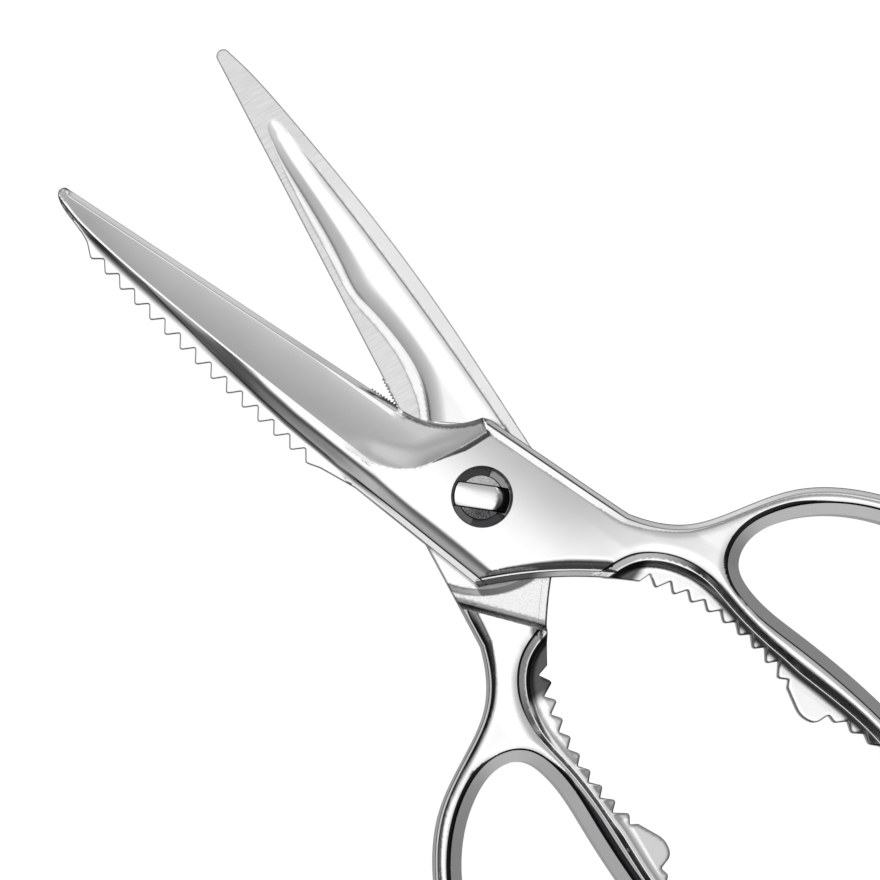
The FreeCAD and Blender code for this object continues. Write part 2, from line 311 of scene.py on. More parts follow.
def v_at(points, u):
    """Height v at each u of the curve through the points."""
    line = curve(points)
    order = np.argsort(line[:, 0])
    line = line[order]
    slope0 = (line[1, 1] - line[0, 1]) / (line[1, 0] - line[0, 0])
    slope1 = (line[-1, 1] - line[-2, 1]) / (line[-1, 0] - line[-2, 0])
    v = np.interp(u, line[:, 0], line[:, 1])
    v = np.where(u < line[0, 0], line[0, 1] + (u - line[0, 0]) * slope0, v)
    return np.where(u > line[-1, 0], line[-1, 1] + (u - line[-1, 0]) * slope1, v)


def ramp(x, low, high):
    """0 below low, 1 above high, smooth between."""
    t = np.clip((x - low) / (high - low), 0, 1)
    return t * t * (3 - 2 * t)


def fade(x, low, high):
    """1 below low, 0 above high, smooth between."""
    return 1 - ramp(x, low, high)


def linear(x, low, high):
    """0 below low, 1 above high, straight between."""
    return np.clip((x - low) / (high - low), 0, 1)


def taper(x, low, high):
    return 1 - linear(x, low, high)


# ---- the forging's lines

bow_outer = spline(BOW_OUTER)
bow_inner = spline(BOW_INNER, closed=True)
split = closest(bow_outer, POCKET_FROM)
side_outer = chain(straight(SHOULDER_TIP, BOW_OUTER[0]), bow_outer[: split + 1])
side_pocket = chain(bow_outer[split:], [NECK_START])
boss_low = arc(BOSS_LOW)
side_low = boss_low[::-1]
side_spine = chain(straight(BOSS_CORNER, SPINE[0]), curve(SPINE))
heel = chain(arc(HEEL), [SHOULDER_TIP])
face_limit = curve(FACE_LIMIT)
face_end = straight(FACE_LIMIT[-1], FACE_TIP)
face_side = np.vstack(
    [face_limit, face_end[1:], [(8.6, -60), (-200, -60), (-200, 60), (13.0, 60), (13.0, 12.6)]]
)
low_split = closest(boss_low, NECK_START)
body_line = chain(
    side_spine, arc(TIP)[1:], straight(*EDGE)[1:], heel[1:], side_outer[1:], side_pocket[1:],
    boss_low[low_split:0:-1],
)
hollow_edge_side = spline(HOLLOW_EDGE_SIDE)
spine_line = straight(SPINE_LINE_START, HOLLOW_SPINE_SIDE[0])
hollow_line = chain(
    hollow_edge_side, straight(HOLLOW_EDGE_SIDE[-1], HOLLOW_SPINE_SIDE[0])[1:], arc(HOLLOW_SPINE_SIDE)[1:-1]
)
ground_limit = spline(GROUND_LIMIT)


def cutting_edge():
    """The cutting edge, with fine serrations near the heel."""
    line = straight(*EDGE)
    in_range = (line[:, 0] > SERRATIONS[0]) & (line[:, 0] < SERRATIONS[1])
    line[in_range & (np.arange(len(line)) % 2 == 0), 1] -= SERRATION_DEPTH
    return line


def rim_line(with_scaler):
    """The outer boundary with its teeth."""
    jaw_teeth = rounded([BOSS_LOW[-1], JAW_FOOT, *tooth_row(*JAW), *LOBE[:2]], 0.3)
    lobe = rounded(LOBE[1:], 1.5)
    end_teeth = rounded([LOBE[-1], END_FOOT, *tooth_row(*END_TEETH), END_TEETH_STOP], 0.3)
    flange = chain(boss_low, jaw_teeth[1:], lobe[1:], end_teeth[1:])
    pad = bow_outer[: closest(bow_outer, PAD_END)]
    if with_scaler:
        root = straight(BOSS_CORNER, SPINE[0])
        teeth = rounded([SCALER_ROOT, SCALER_HEEL, *tooth_row(*SCALER)[::-1], *SCALER_TOE[:2]], 0.4)
        spine = chain(root, straight(SPINE[0], SCALER_ROOT)[1:], teeth[1:], spline(SCALER_TOE[1:])[1:])
    else:
        spine = chain(side_spine, arc(TIP)[1:])
    neck = straight(SHOULDER_TIP, BOW_OUTER[0])
    return chain(spine, cutting_edge()[1:], heel[1:], neck[1:], pad[1:], flange[::-1][1:-1])


def keyhole():
    """The front half's bore with the two notches that let the T head through."""
    points = []
    for turn in (0, 180):
        wide = np.radians(np.arange(NOTCHES[0], NOTCHES[1] + 1, 3) + turn)
        narrow = np.radians(np.arange(NOTCHES[1], NOTCHES[0] + 181, 3) + turn)
        points += [polar(NOTCH_RADIUS, wide), polar(BORE_RADIUS, narrow)]
    return chain(*points)


def ring(radius):
    count = max(24, int(2 * math.pi * radius / STEP))
    return polar(radius, np.linspace(0, 2 * math.pi, count, endpoint=False))


# ---- heights


def edge_v(u):
    (u0, v0), (u1, v1) = EDGE
    return v0 + (v1 - v0) * (u - u0) / (u1 - u0)


def flank_top(u):
    top = RIDGE_HEEL + (RIDGE_TIP - RIDGE_HEEL) * linear(u, 15.0, 97.0)
    return np.minimum(top, BEVEL_HEIGHT + 0.28 * (v_at(RIDGE, u) - edge_v(u) - BEVEL_WIDTH))


def spine_height(u):
    return SPINE_HEIGHT - 0.6 * ramp(u, 86, 96)


def bevel_width(u):
    return np.minimum(BEVEL_WIDTH, 0.4 * (v_at(RIDGE, u) - edge_v(u)))


def ridge_flat(u):
    """Half the width of the ridge's polished flat."""
    return 0.17 + 0.29 * linear(-u, -50, -21)


def bevel_lip(u):
    """Width of the flat between the edge bevel and the flank."""
    return 0.17 + 0.8 * linear(-u, -40, -22)


def blade_height(u, v, cut):
    """The blade's outer face up to the ridge: edge bevel, hollow-ground flank, flat-topped ridge."""
    ridge, top = v_at(RIDGE, u) - ridge_flat(u), flank_top(u)
    bevel = edge_v(u) + bevel_width(u) + bevel_lip(u)
    s = linear(v, bevel, ridge)
    strip = (BEVEL_HEIGHT - EDGE_HEIGHT) * taper(cut, 0, bevel_width(u))
    flank = BEVEL_HEIGHT + (top - BEVEL_HEIGHT) * s - FLANK_HOLLOW * s * (1 - s) * linear(100 - u, 0, 80)
    below = 0.1 * np.minimum(v - bevel, 0) * linear(-u, -22.5, -21)
    return np.maximum(flank - strip + below, EDGE_HEIGHT)


def face_height(u, v, inset):
    """The face of the boss, crowned, and of the neck and the bow, flat with rounded sides."""
    crown = np.where(v < 0, CROWN_EDGE_SIDE, CROWN_SPINE_SIDE) * np.clip(v, -12.5, 11) ** 2
    boss = 0.0006 * (np.maximum(u, -20) + 4) ** 2 + crown
    neck = 0.15 + 0.35 * linear(-v, 8, 18) * fade(-u, 34, 48) + 0.28 * taper(inset, 0, 1.9) ** 2
    return THICKNESS - boss - (neck - boss) * ramp(-u, 12, 32)


def rim_heights(u, d, base):
    """Heights that the outlines of the boss and the bow allow, each by the distance from its line."""
    out, low, hole = d.outer, d.low, d.hole
    handle = ramp(-u, 20, 34)
    drop, width = 0.74 - 0.27 * handle, 1.45 - 0.8 * handle
    strip = base - drop - 0.2 + 0.12 * linear(out, 0, 0.93)
    outer = np.where(out < 0.98, strip, base - drop * taper(out, 1.0, 1.0 + width)) + 5 * (out > 3.0)
    roll_end = 2.5 + 1.2 * linear(-u, 8, 20)
    roll = base + 0.02 - 1.7 * taper(low, 1.35, roll_end) ** 2.2
    low_rim = np.where(low < 1.05, 2.1 + 0.3 * low, roll) + 5 * (low > 4.0)
    bevel = np.where(hole < 2.1, 3.2 + 0.45 * linear(hole, 0, 2.1), 3.85 + 0.5 * linear(hole, 2.15, 2.6))
    hole_rim = bevel + 5 * (hole > 2.8)
    pocket = np.where(d.in_body, 3.9 + 0.5 * linear(d.pocket, 0.05, 0.6) + 5 * (d.pocket > 0.6), 9)
    return outer, low_rim, hole_rim, pocket


def cove_foot(u):
    """v of the crease along the foot of the cove under the ridge."""
    return np.maximum(v_at(SPINE, u) - STRIP_WIDTH, v_at(RIDGE, u) + ridge_flat(u) + 0.3)


def cove_width(u):
    return 0.5 + 1.5 * fade(u, 84, 91) + 1.8 * linear(-u, -88, -52)


def cove_height(u, v):
    """From the ridge down to the flat along the spine: hollow at the tip, rolling over near the boss."""
    ridge = v_at(RIDGE, u) + ridge_flat(u) + 0.5 * linear(-u, -47, -37)
    t = linear((v - ridge) / cove_width(u), 0, 1)
    round_over = linear(-u, -62, -44)
    fall = (1 - round_over) * (1 - t) ** 2.2 + round_over * (1 - t * t * (3 - 2 * t))
    return spine_height(u) + (flank_top(u) - spine_height(u)) * fall


def spine_side(u, v, d):
    """From the ridge, or the boss's face, down to the narrow strip along the spine."""
    foot = d.spine - STRIP_WIDTH
    roll = THICKNESS + 0.05 - 1.9 * taper(foot, 0.05, 5.2) ** 2.3
    roll = np.where(foot < 0, 2.2 + 0.15 * d.spine, roll)
    return roll + (cove_height(u, v) - roll) * ramp(u, 8.0, 27.0)


def band_width(u):
    """Width of the band along the flange side of the neck and the bar."""
    return 0.85 + 0.4 * ramp(u, -46, -36) + 0.25 * ramp(-u, 63, 68)


def flange_height(u, d):
    """The nutcracker flange: a band and a cove beside the bar, a flat, and the teeth."""
    out, width = d.pocket, band_width(u)
    drop = 0.35 + 0.8 * ramp(-u, 38, 50)
    band = 1.75 - drop * linear(out, 0, width)
    cove = (1.75 - drop) * taper(out, width + 0.16, width + 1.9) ** 2
    flat = JAW_HEIGHT + np.where(out < width + 0.02, band, cove)
    sloped = flat - 0.2 * taper(d.teeth, 0.0, 0.45) ** 2 * (out > width + 0.3)
    return np.minimum(sloped, 2.4 + 1.5 * linear(d.low, 1.0, 2.2) + 9 * (d.low > 2.2))


def facet_width(v):
    """Width of the facet, painted dark, between the boss's face and the scoop below it."""
    return 0.85 * linear(-v, -0.5, 5.0) * taper(-v, 10.3, 11.0)


def outer_height(p, d):
    """The outer surface, but for the recesses at the pivot."""
    u, v = p.T
    ridge = v_at(RIDGE, u)
    inset = np.minimum(np.minimum(d.outer - 0.95, d.hole - 2.2), d.pocket)
    face = face_height(u, v, inset)
    outer, low_rim, hole_rim, pocket = rim_heights(u, d, face_height(u, v, 9.0))
    side = spine_side(u, v, d)
    side = np.where((u < 8) & (d.spine > 6.2), 9, side)
    facet = facet_width(v)
    beyond = np.where(d.on_face, -d.limit, d.limit)
    cut = np.where(u > 0, np.minimum(face, outer) - np.clip(facet + beyond, 0, facet), 9)
    boss = np.minimum.reduce([face, outer, low_rim, hole_rim, pocket, side, cut])
    blade = blade_height(u, v, d.cut)
    top = np.minimum(face, outer) - np.maximum(facet, 0.5 * linear(-v, 8.5, 10))
    scoop = blade + (top - blade) * taper(d.limit, 0.24, 5.2) ** 2.0
    cutting = np.where(d.on_face, boss, np.maximum(blade, scoop))
    spine = np.where(u < 20.5, np.minimum(boss, side), side)
    height = np.where((v > ridge + ridge_flat(u)) & (u > 0), spine, cutting)
    height = np.where(d.in_body, height, np.where(u < -20, flange_height(u, d), cove_height(u, v)))
    # every outer edge but the cutting edge is broken
    size = np.where((v < 0) & (u > 9), 0.01, EDGE_BREAK)
    height = height - 0.8 * size * taper(d.rim, 0, size)
    return np.maximum(height, EDGE_HEIGHT)


def recesses(p, front):
    """Depth limits at the pivot on the outer face."""
    r = np.hypot(*p.T)
    if front:
        return np.where(r < COUNTERBORE_RADIUS - 0.02, LEDGE_HEIGHT, 9.0)
    return np.where(r < RIVET_RADIUS - 0.02, THICKNESS - RIVET_DEPTH, 9.0)


def past_shoulder(points):
    """How far beyond the shoulder, towards the bow, each point lies."""
    return -(points[:, 0] + points[:, 1]) / math.sqrt(2) - SHOULDER


def inner_height(p, d, outer):
    """The inner face: flat at the pivot and along the blade, hollow between, stepped at the shoulder."""
    u, v = p.T
    r = np.hypot(u, v)
    beyond = past_shoulder(p)
    mask = ramp(-(u + v), 4, 8)
    height = 0.45 * linear(r, *RECESS) * mask
    height = height - 0.35 * ramp(beyond, -0.9, 0) * mask
    wall = height * taper(beyond, 0, SHOULDER_DRAFT) - outer * linear(beyond, 0, SHOULDER_DRAFT)
    height = np.where(beyond > 0, wall, height)
    depth = 1 - np.maximum(taper(d.hollow_edge, 0, 3.4) ** 2, taper(d.hollow_spine, 0, 5.0) ** 2)
    depth = depth * (0.3 + 0.7 * fade(u, 64, 80))
    return np.where(d.in_hollow, height + HOLLOW_DEPTH * depth, height)


def strip_shift(u, front):
    """How much narrower the strip along the handle's outer side is on the back half."""
    return 0.45 * ramp(-u, 14, 19) * (not front)


def measures(p, rim, front):
    """Each point's distances to the half's lines, and the regions that it lies in."""
    u, v = p.T
    serrated = (u > EDGE[1][0]) & (u < SERRATIONS[1]) & (v < edge_v(u))
    teeth = rim[(rim[:, 0] < -34.5) & (rim[:, 0] > -92) & (rim[:, 1] > -10)]
    return SimpleNamespace(
        outer=distance(p, side_outer) + strip_shift(u, front),
        spine=distance(p, side_spine),
        low=distance(p, side_low),
        pocket=distance(p, side_pocket),
        hole=distance(p, bow_inner, closed=True),
        limit=distance(p, face_limit),
        rim=distance(p, rim, closed=True),
        hollow_edge=distance(p, hollow_edge_side),
        hollow_spine=distance(p, arc(HOLLOW_SPINE_SIDE)),
        in_hollow=inside(p, hollow_line) | (distance(p, hollow_line, closed=True) < 0.02),
        in_body=inside(p, body_line) | (distance(p, body_line, closed=True) < 0.03) | serrated,
        cut=distance(p, chain(straight(*EDGE), heel)) * ((v > edge_v(u)) | (u < EDGE[1][0])),
        on_face=inside(p, face_side),
        teeth=distance(p, teeth),
    )


# ---- mesh


def offset(line, by, closed=False):
    """The polyline moved sideways, to its left for a positive distance."""
    if closed:
        along = np.roll(line, -1, axis=0) - np.roll(line, 1, axis=0)
    else:
        along = np.gradient(line, axis=0)
    along = along / np.linalg.norm(along, axis=1)[:, None]
    return line + by * np.column_stack([-along[:, 1], along[:, 0]])


def offsets(line, *distances, closed=False):
    return [offset(line, by, closed) for by in distances]


def grid_points():
    """A triangular grid."""
    u = np.arange(GRID_FROM[0], GRID_TO[0], GRID)
    rows = []
    for i, v in enumerate(np.arange(GRID_FROM[1], GRID_TO[1], GRID * 0.866)):
        rows.append(np.column_stack([u + (GRID / 2 if i % 2 else 0), np.full(len(u), v)]))
    return np.vstack(rows)


def mesh_plane(rim, holes, creases, rows):
    """Triangles inside the rim and outside the holes, with their edges along the creases."""
    boundary = [rim, *holes]
    domain = np.vstack(boundary)
    edges = []
    start = 0
    for loop in boundary:
        n = len(loop)
        edges += [(start + i, start + (i + 1) % n) for i in range(n)]
        start += n

    def within(points):
        keep = inside(points, rim)
        for hole in holes:
            keep &= ~inside(points, hole)
        return keep

    def room(points, margin):
        keep = within(points)
        for loop in boundary:
            keep[keep] = distance(points[keep], loop, closed=True) > margin
        return keep

    extra, count = [], len(domain)
    for line in creases:
        keep = room(line, CREASE_ROOM)
        index = np.cumsum(keep) - 1 + count
        for i in range(len(line) - 1):
            if keep[i] and keep[i + 1] and np.linalg.norm(line[i + 1] - line[i]) < LONGEST_EDGE:
                edges.append((int(index[i]), int(index[i + 1])))
        extra.append(line[keep])
        count += int(keep.sum())
    crease_points = np.vstack(extra)
    loose = np.vstack([grid_points(), *rows])
    loose = loose[np.unique((loose // 0.1).astype(int), axis=0, return_index=True)[1]]
    loose = loose[room(loose, EDGE_BREAK + 0.08)]
    gap = np.linalg.norm(crease_points[nearest(loose, crease_points)] - loose, axis=1)
    points = np.vstack([domain, crease_points, loose[gap > LOOSE_ROOM]])
    out = delaunay_2d_cdt([Vector(q) for q in points], edges, [], 0, 1e-5)
    verts = np.array([tuple(q) for q in out[0]])
    faces = np.array(out[2])
    place = np.full(len(domain), -1)
    for new, sources in enumerate(out[3]):
        for old in sources:
            if old < len(domain):
                place[old] = new
    return verts, faces[within(verts[faces].mean(axis=1))], place


def join_surfaces(surfaces, rim, holes):
    """One closed mesh from the two surfaces, each with points, triangles and its boundary's places."""
    faces, places, start = [], [], 0
    for points, tris, place in surfaces:
        faces += [tuple(int(i) + start for i in t) for t in tris]
        places.append(place + start)
        start += len(points)
    first = 0
    for loop in (rim, *holes):
        ends = np.arange(first, first + len(loop))
        for a, b in zip(ends, np.roll(ends, -1)):
            faces.append((places[0][a], places[0][b], places[1][b], places[1][a]))
        first += len(loop)
    return np.vstack([points for points, _, _ in surfaces]), faces


def break_line(rim):
    """The inner line of the broken outer edge."""
    return wrapped(offset(rim, -EDGE_BREAK, True))


def blade_lines():
    """The ridge, both sides of its flat, the edge bevel, the lip above that, and the cove's foot."""
    ridge = curve(RIDGE)
    sides = [ridge + np.column_stack([0 * ridge[:, 0], by * ridge_flat(ridge[:, 0])]) for by in (1, -1)]
    u = np.arange(22.0, 95.2, STEP)
    bevel = np.column_stack([u, edge_v(u) + bevel_width(u)])
    lip = bevel + np.column_stack([0 * u, bevel_lip(u)])
    return ridge, sides, bevel, lip, np.column_stack([u, cove_foot(u)])


def facet_lines():
    """The upper side of the facet at the face's limit, a line just beyond it, and one in the scoop."""
    aside = offset(face_limit, 1.0) - face_limit
    width = facet_width(face_limit[:, 1])[:, None]
    lines = (face_limit - aside * width, face_limit - aside * (width + 0.07), face_limit + 0.24 * aside)
    return [line[face_limit[:, 1] < 0.6] for line in lines]


def handle_lines(front):
    """Creases along the pocket and its band, the outer strip, the hole, and the pocket's dark line."""
    band = band_width(side_pocket[:, 0])[:, None]
    pocket = [side_pocket, *[offset(side_pocket, band + by)[3:-3] for by in (0.0, 0.05, 0.16)]]
    shift = strip_shift(side_outer[:, 0], front)[:, None]
    strip = [offset(side_outer, by + shift) for by in (-0.8, -0.88, -0.97, -1.0, -1.07, -1.15, -1.65)]
    width = line_width(bow_inner, front)[:, None]
    hole = [offset(bow_inner, by, True) for by in (2.04, 2.13, 2.22, 2.15 + width, 2.22 + width)]
    width = pocket_line(side_pocket[:, 0], front)[:, None]
    return pocket, strip, hole, [offset(side_pocket, -by - width)[3:-3] for by in (0.0, 0.07)]


def outer_lines(rim, front):
    """The outer surface's hard lines, all its creases, and the rows of loose points beside them."""
    ridge, ridge_sides, bevel, lip, foot = blade_lines()
    facet, facet_end, facet_lip = facet_lines()
    pocket, strip, hole, dark_line = handle_lines(front)
    hard = [*ridge_sides, bevel, lip, face_limit, facet, facet_lip]
    creases = [*hard, facet_end, *offsets(face_end, -0.06, 0.0, 0.06), foot, break_line(rim)]
    creases += [*pocket, offset(heel, -BEVEL_WIDTH)[6:]]
    creases += [ridge_sides[0] + (0, 0.06), bevel - (0, 0.1), bevel + (0, 0.06)]
    creases += [*strip, offset(side_outer, -2.45)]
    creases += offsets(side_spine, -1.1, -1.17, -1.24, -1.3, -1.37, -1.44)
    creases += offsets(side_low, -0.95, -1.03, -1.08, -1.15, -1.35, -1.6, -1.9, -2.4)
    creases += hole + dark_line
    radius = COUNTERBORE_RADIUS if front else RIVET_RADIUS
    creases += [wrapped(ring(radius + by)) for by in ((0, -0.05, 0.09, 0.16) if front else (0, -0.05))]
    rows = [offset(rim, RIM_ROW, True)]
    rows += offsets(side_outer, *OUTER_ROWS)
    rows += offsets(bow_inner, *HOLE_ROWS, closed=True)
    rows += offsets(ridge, -0.32, 0.32, 0.5, 0.7)
    rows += offsets(bevel, -0.7, -0.35, 0.7)
    rows += offsets(face_limit, 0.1, 0.25, 0.5)
    rows += offsets(side_pocket, *POCKET_ROWS)
    return hard, creases, rows


def on_handle(lines):
    """What of the lines lies on the handle, beyond the shoulder's wall."""
    return [line[past_shoulder(line) > SHOULDER_DRAFT + 0.1] for line in lines]


def inner_lines(rim, front):
    """The same for the inner surface."""
    pocket, strip, hole, dark_line = handle_lines(front)
    hard = [wrapped(hollow_line)]
    creases = [*hard, *offsets(hollow_line, -0.22, 0.22, closed=True)]
    creases += [ground_limit, offset(ground_limit, 0.07), break_line(rim)]
    creases += [offset(spine_line, by)[1:-2] for by in (-0.14, 0.0, 0.14)]
    turn = np.radians(np.arange(140, 290, 1))
    creases += [polar(radius, turn) for radius in (RECESS[0], 16.98, 18.12, RECESS[1])]
    along, out = np.array([1, -1]) / math.sqrt(2), -np.array([1, 1]) / math.sqrt(2)
    for by in (-0.9, -0.4, 0, 0.3, SHOULDER_DRAFT):
        middle = out * (SHOULDER + by)
        creases.append(straight(middle - 20 * along, middle + 20 * along))
    creases += [*on_handle(pocket + strip), *hole, *on_handle(dark_line)]
    creases += offsets(side_low, -0.3, -0.38, -1.46, -1.54, -1.62)
    rows = [offset(rim, RIM_ROW, True)]
    rows += on_handle(offsets(side_outer, *OUTER_ROWS))
    rows += offsets(bow_inner, *HOLE_ROWS, closed=True)
    rows += on_handle(offsets(side_pocket, *POCKET_ROWS))
    rows += offsets(hollow_line, -0.3, -0.6, -0.9, -1.3, closed=True)
    return hard, creases, rows


def build_half(name, front):
    rim = rim_line(front)
    holes = [bow_inner, keyhole() if front else ring(TAIL_RADIUS)]
    hard, surfaces, marks = [], [], []
    for outer in (True, False):
        sharp, creases, rows = outer_lines(rim, front) if outer else inner_lines(rim, front)
        hard += sharp
        plane, tris, place = mesh_plane(rim, holes, creases, rows)
        d = measures(plane, rim, front)
        top = outer_height(plane, d)
        if outer:
            w = np.minimum(top, recesses(plane, front))
            marks.append(outer_marks(plane, d, front))
        else:
            w = inner_height(plane, d, top)
            marks.append(inner_marks(plane, d, front))
            tris = tris[:, ::-1]
        surfaces.append((np.column_stack([plane, w]), tris, place))
    verts, faces = join_surfaces(surfaces, rim, holes)
    marks = {key: np.concatenate([m[key] for m in marks]) for key in marks[0]}
    on_line = np.zeros(len(verts), int)
    for i, line in enumerate(hard):
        on_line[distance(verts[:, :2], line) < 0.004] = i + 1
    return place_half(name, front, verts, faces, marks, on_line)


def place_half(name, front, verts, faces, marks, on_line):
    """Makes the object, in metres, in the frame's place for that half."""
    u, v, w = verts.T
    if front:
        z, side = THICKNESS + SLIDING_GAP + w, v
        turn = math.radians(REST_OPENING / 2)
    else:
        z, side = THICKNESS - w, -v
        turn = -math.radians(REST_OPENING / 2)
    x = (u * math.cos(turn) - side * math.sin(turn)) * FIT
    y = (u * math.sin(turn) + side * math.cos(turn)) * FIT
    return make_piece(name, np.column_stack([x, y, z]), verts, faces, marks, on_line)


def make_piece(name, points, verts, faces, marks, on_line=None):
    """The object, smooth but for its steep edges and for the edges along one of the numbered lines."""
    mesh = bpy.data.meshes.new(name)
    mesh.from_pydata((points * MM).tolist(), [], faces)
    for key, values in marks.items():
        mesh.attributes.new(key, "FLOAT", "POINT").data.foreach_set("value", values.astype(np.float32))
    grain = mesh.attributes.new("grain", "FLOAT_VECTOR", "POINT")
    grain.data.foreach_set("vector", verts.astype(np.float32).ravel())
    mesh.update()
    obj = bpy.data.objects.new(name, mesh)
    bpy.context.scene.collection.objects.link(obj)
    bpy.context.view_layer.objects.active = obj
    obj.select_set(True)
    bpy.ops.object.mode_set(mode="EDIT")
    bpy.ops.mesh.select_all(action="SELECT")
    bpy.ops.mesh.normals_make_consistent(inside=False)
    bpy.ops.object.mode_set(mode="OBJECT")
    bpy.ops.object.shade_smooth_by_angle(angle=math.radians(28))
    obj.select_set(False)
    if on_line is not None:
        ends = np.empty(2 * len(mesh.edges), np.int32)
        mesh.edges.foreach_get("vertices", ends)
        a, b = on_line[ends].reshape(-1, 2).T
        sharp = np.empty(len(mesh.edges), bool)
        mesh.attributes["sharp_edge"].data.foreach_get("value", sharp)
        mesh.attributes["sharp_edge"].data.foreach_set("value", sharp | ((a == b) & (a > 0)))
    return obj


def stud_head():
    """The domed T head, along its own first axis, over the sliding plane."""
    corner = math.degrees(math.asin(HEAD_HALF_WIDTH / HEAD_RADIUS))
    ends = [polar(HEAD_RADIUS, np.radians(np.linspace(-corner, corner, 17) + turn)) for turn in (0, 180)]
    sides = [straight(ends[0][-1], ends[1][0])[1:], straight(ends[1][-1], ends[0][0])[1:-1]]
    rim = chain(ends[0], sides[0], ends[1][1:], sides[1])
    surfaces = []
    for outer in (True, False):
        rows = offsets(rim, 0.07, 0.15, 0.25, 0.4, closed=True)
        plane, tris, place = mesh_plane(rim, [], [arc(HEAD_SLOPE, 0.2)], rows)
        a, b = plane.T
        foot = np.interp(np.abs(b), (0, 1.2, 2.35), (-2.95, -2.76, -2.2))
        top = HEAD_TOP - 0.28 * (np.abs(b) / HEAD_HALF_WIDTH) ** 3 - 0.25 * (np.abs(a) / HEAD_RADIUS) ** 3
        top = top - 0.55 * np.maximum(foot - a, 0)
        top = top - 0.2 * taper(distance(plane, rim, closed=True), 0, 0.25) ** 2
        w = np.maximum(top, HEAD_LOW + 0.1) if outer else HEAD_LOW + 0 * a
        surfaces.append((np.column_stack([plane, w]), tris if outer else tris[:, ::-1], place))
    return join_surfaces(surfaces, rim, [])


def stud_shank(sliding):
    """The riveted tail and the journal, turned from one profile of (radius, height)."""
    under_head = sliding + HEAD_LOW - 0.02
    profile = (
        (0.05, 0.0), (RIVET_RADIUS - 0.2, 0.0), (RIVET_RADIUS - 0.03, 0.15),
        (RIVET_RADIUS - 0.03, RIVET_DEPTH - 0.01), (TAIL_RADIUS - 0.03, RIVET_DEPTH),
        (TAIL_RADIUS - 0.03, THICKNESS), (4.18, THICKNESS + 0.01), (4.18, sliding + HEAD_LOW - 0.15),
        (4.05, sliding + HEAD_LOW - 0.03), (3.4, under_head), (0.05, under_head),
    )
    t = np.linspace(0, 2 * math.pi, SHANK_SIDES, endpoint=False)
    points = np.vstack([np.column_stack([polar(radius, t), 0 * t + z]) for radius, z in profile])
    rows = np.arange(len(points)).reshape(-1, SHANK_SIDES)
    faces = []
    for low, high in zip(rows, rows[1:]):
        faces += [*np.column_stack([low, np.roll(low, -1), np.roll(high, -1), high])]
    return points, [*faces, rows[0][::-1], rows[-1]]


def build_stud():
    """The rivet: tail in the back half, journal in the front half's bore and a T head."""
    sliding = THICKNESS + SLIDING_GAP
    head, faces = stud_head()
    shank, shank_faces = stud_shank(sliding)
    faces += [tuple((face + len(head)).tolist()) for face in shank_faces]
    turn = math.radians(HEAD_ANGLE)
    spun = head[:, :2] @ np.array([[math.cos(turn), math.sin(turn)], [-math.sin(turn), math.cos(turn)]])
    points = np.vstack([np.column_stack([spun, head[:, 2] + sliding]), shank])
    # painted shade: the shank lighter on the side towards the light, and the head's sloped end painted dark
    # as a painted reflection
    lit = np.cos(np.arctan2(shank[:, 1], shank[:, 0]) + math.radians(42))
    dark = np.concatenate([np.where(head[:, 0] < -3.1, 0.35, 0.0), 0.72 - 0.22 * lit])
    marks = vertex_marks(len(points), dark=dark, stipple=np.arange(len(points)) >= len(head))
    return make_piece("stud", points, np.vstack([head, shank]), faces, marks)


def line_mark(distance_to, at, width):
    """1 on a line, 0 beside it."""
    return taper(np.abs(distance_to - at), 0.8 * width, 1.5 * width)


def line_width(p, front):
    """Width of the dark line of painted shade round the bow's hole."""
    head = np.linalg.norm(p - (BOW_HEAD if front else BOW_CROTCH), axis=1)
    if front:
        return 0.2 + 0.6 * fade(head, 8, 18)
    return 0.2 + 0.55 * ramp(head, 5, 11) + 0.55 * ramp(-p[:, 0], 54, 64) * ramp(p[:, 1], -20, -17)


def pocket_line(u, front):
    """Width of the dark line of painted shade between the neck and the flange."""
    return 0.07 + (0.22 * fade(-u, 27, 33) if front else 0.3 * fade(-u, 34, 42))


def handle_marks(p, d, front):
    """Painted shade and painted reflections on the bow: dark lines and darker bands along its creases."""
    width = line_width(p, front)
    bow = ramp(-p[:, 0], 18, 34)
    outer = (1 - 0.5 * front * bow) * line_mark(d.outer, 0.98, 0.13 - 0.03 * bow)
    hole = (d.hole > 2.12) * taper(d.hole - width, 2.15, 2.22)
    pocket = taper(d.pocket - pocket_line(p[:, 0], front), 0, 0.07) * (d.low > 1.0)
    return np.maximum.reduce([outer, hole, pocket, 0.5 * fade(d.hole, 2.05, 2.15)]) * d.in_body


def flange_marks(p, d, front):
    u, v = p.T
    out, width = d.pocket, band_width(u)
    # painted shade and painted reflections on the flange: a darker band beside the bar, a dark cove and a
    # dark wedge by the neck
    band = (0.35 + 0.35 * ramp(-u, 33, 40)) * fade(out, width - 0.08, width)
    cove = fade(out, width + 0.2, width + (2.7 if front else 2.0)) * ramp(-u, 33 if front else 37, 41)
    cove = (0.8 if front else 0.3) * (out > width + 0.13) * cove
    wedge = 0.92 * (out > width + 0.13) * (fade(-u, 31.5, 33) if front else fade(-u, 36.5, 39))
    marks = np.maximum.reduce([band, cove, wedge])
    if not front:
        # the back half's teeth painted darker, as painted shade
        teeth = (u > -65) * ramp(v - v_at(JAW[0], u), -0.1, 0.0) + (u < -66.5) * ramp(v, -6.3, -6.1)
        marks = np.maximum(marks, 0.38 * teeth * (u < -35))
    return marks * (u < -24) * (~d.in_body)


def vertex_marks(count, **values):
    """The marks of a number of vertices, 0 where no values are given."""
    return {key: np.zeros(count) + values.get(key, 0) for key in MARKS}


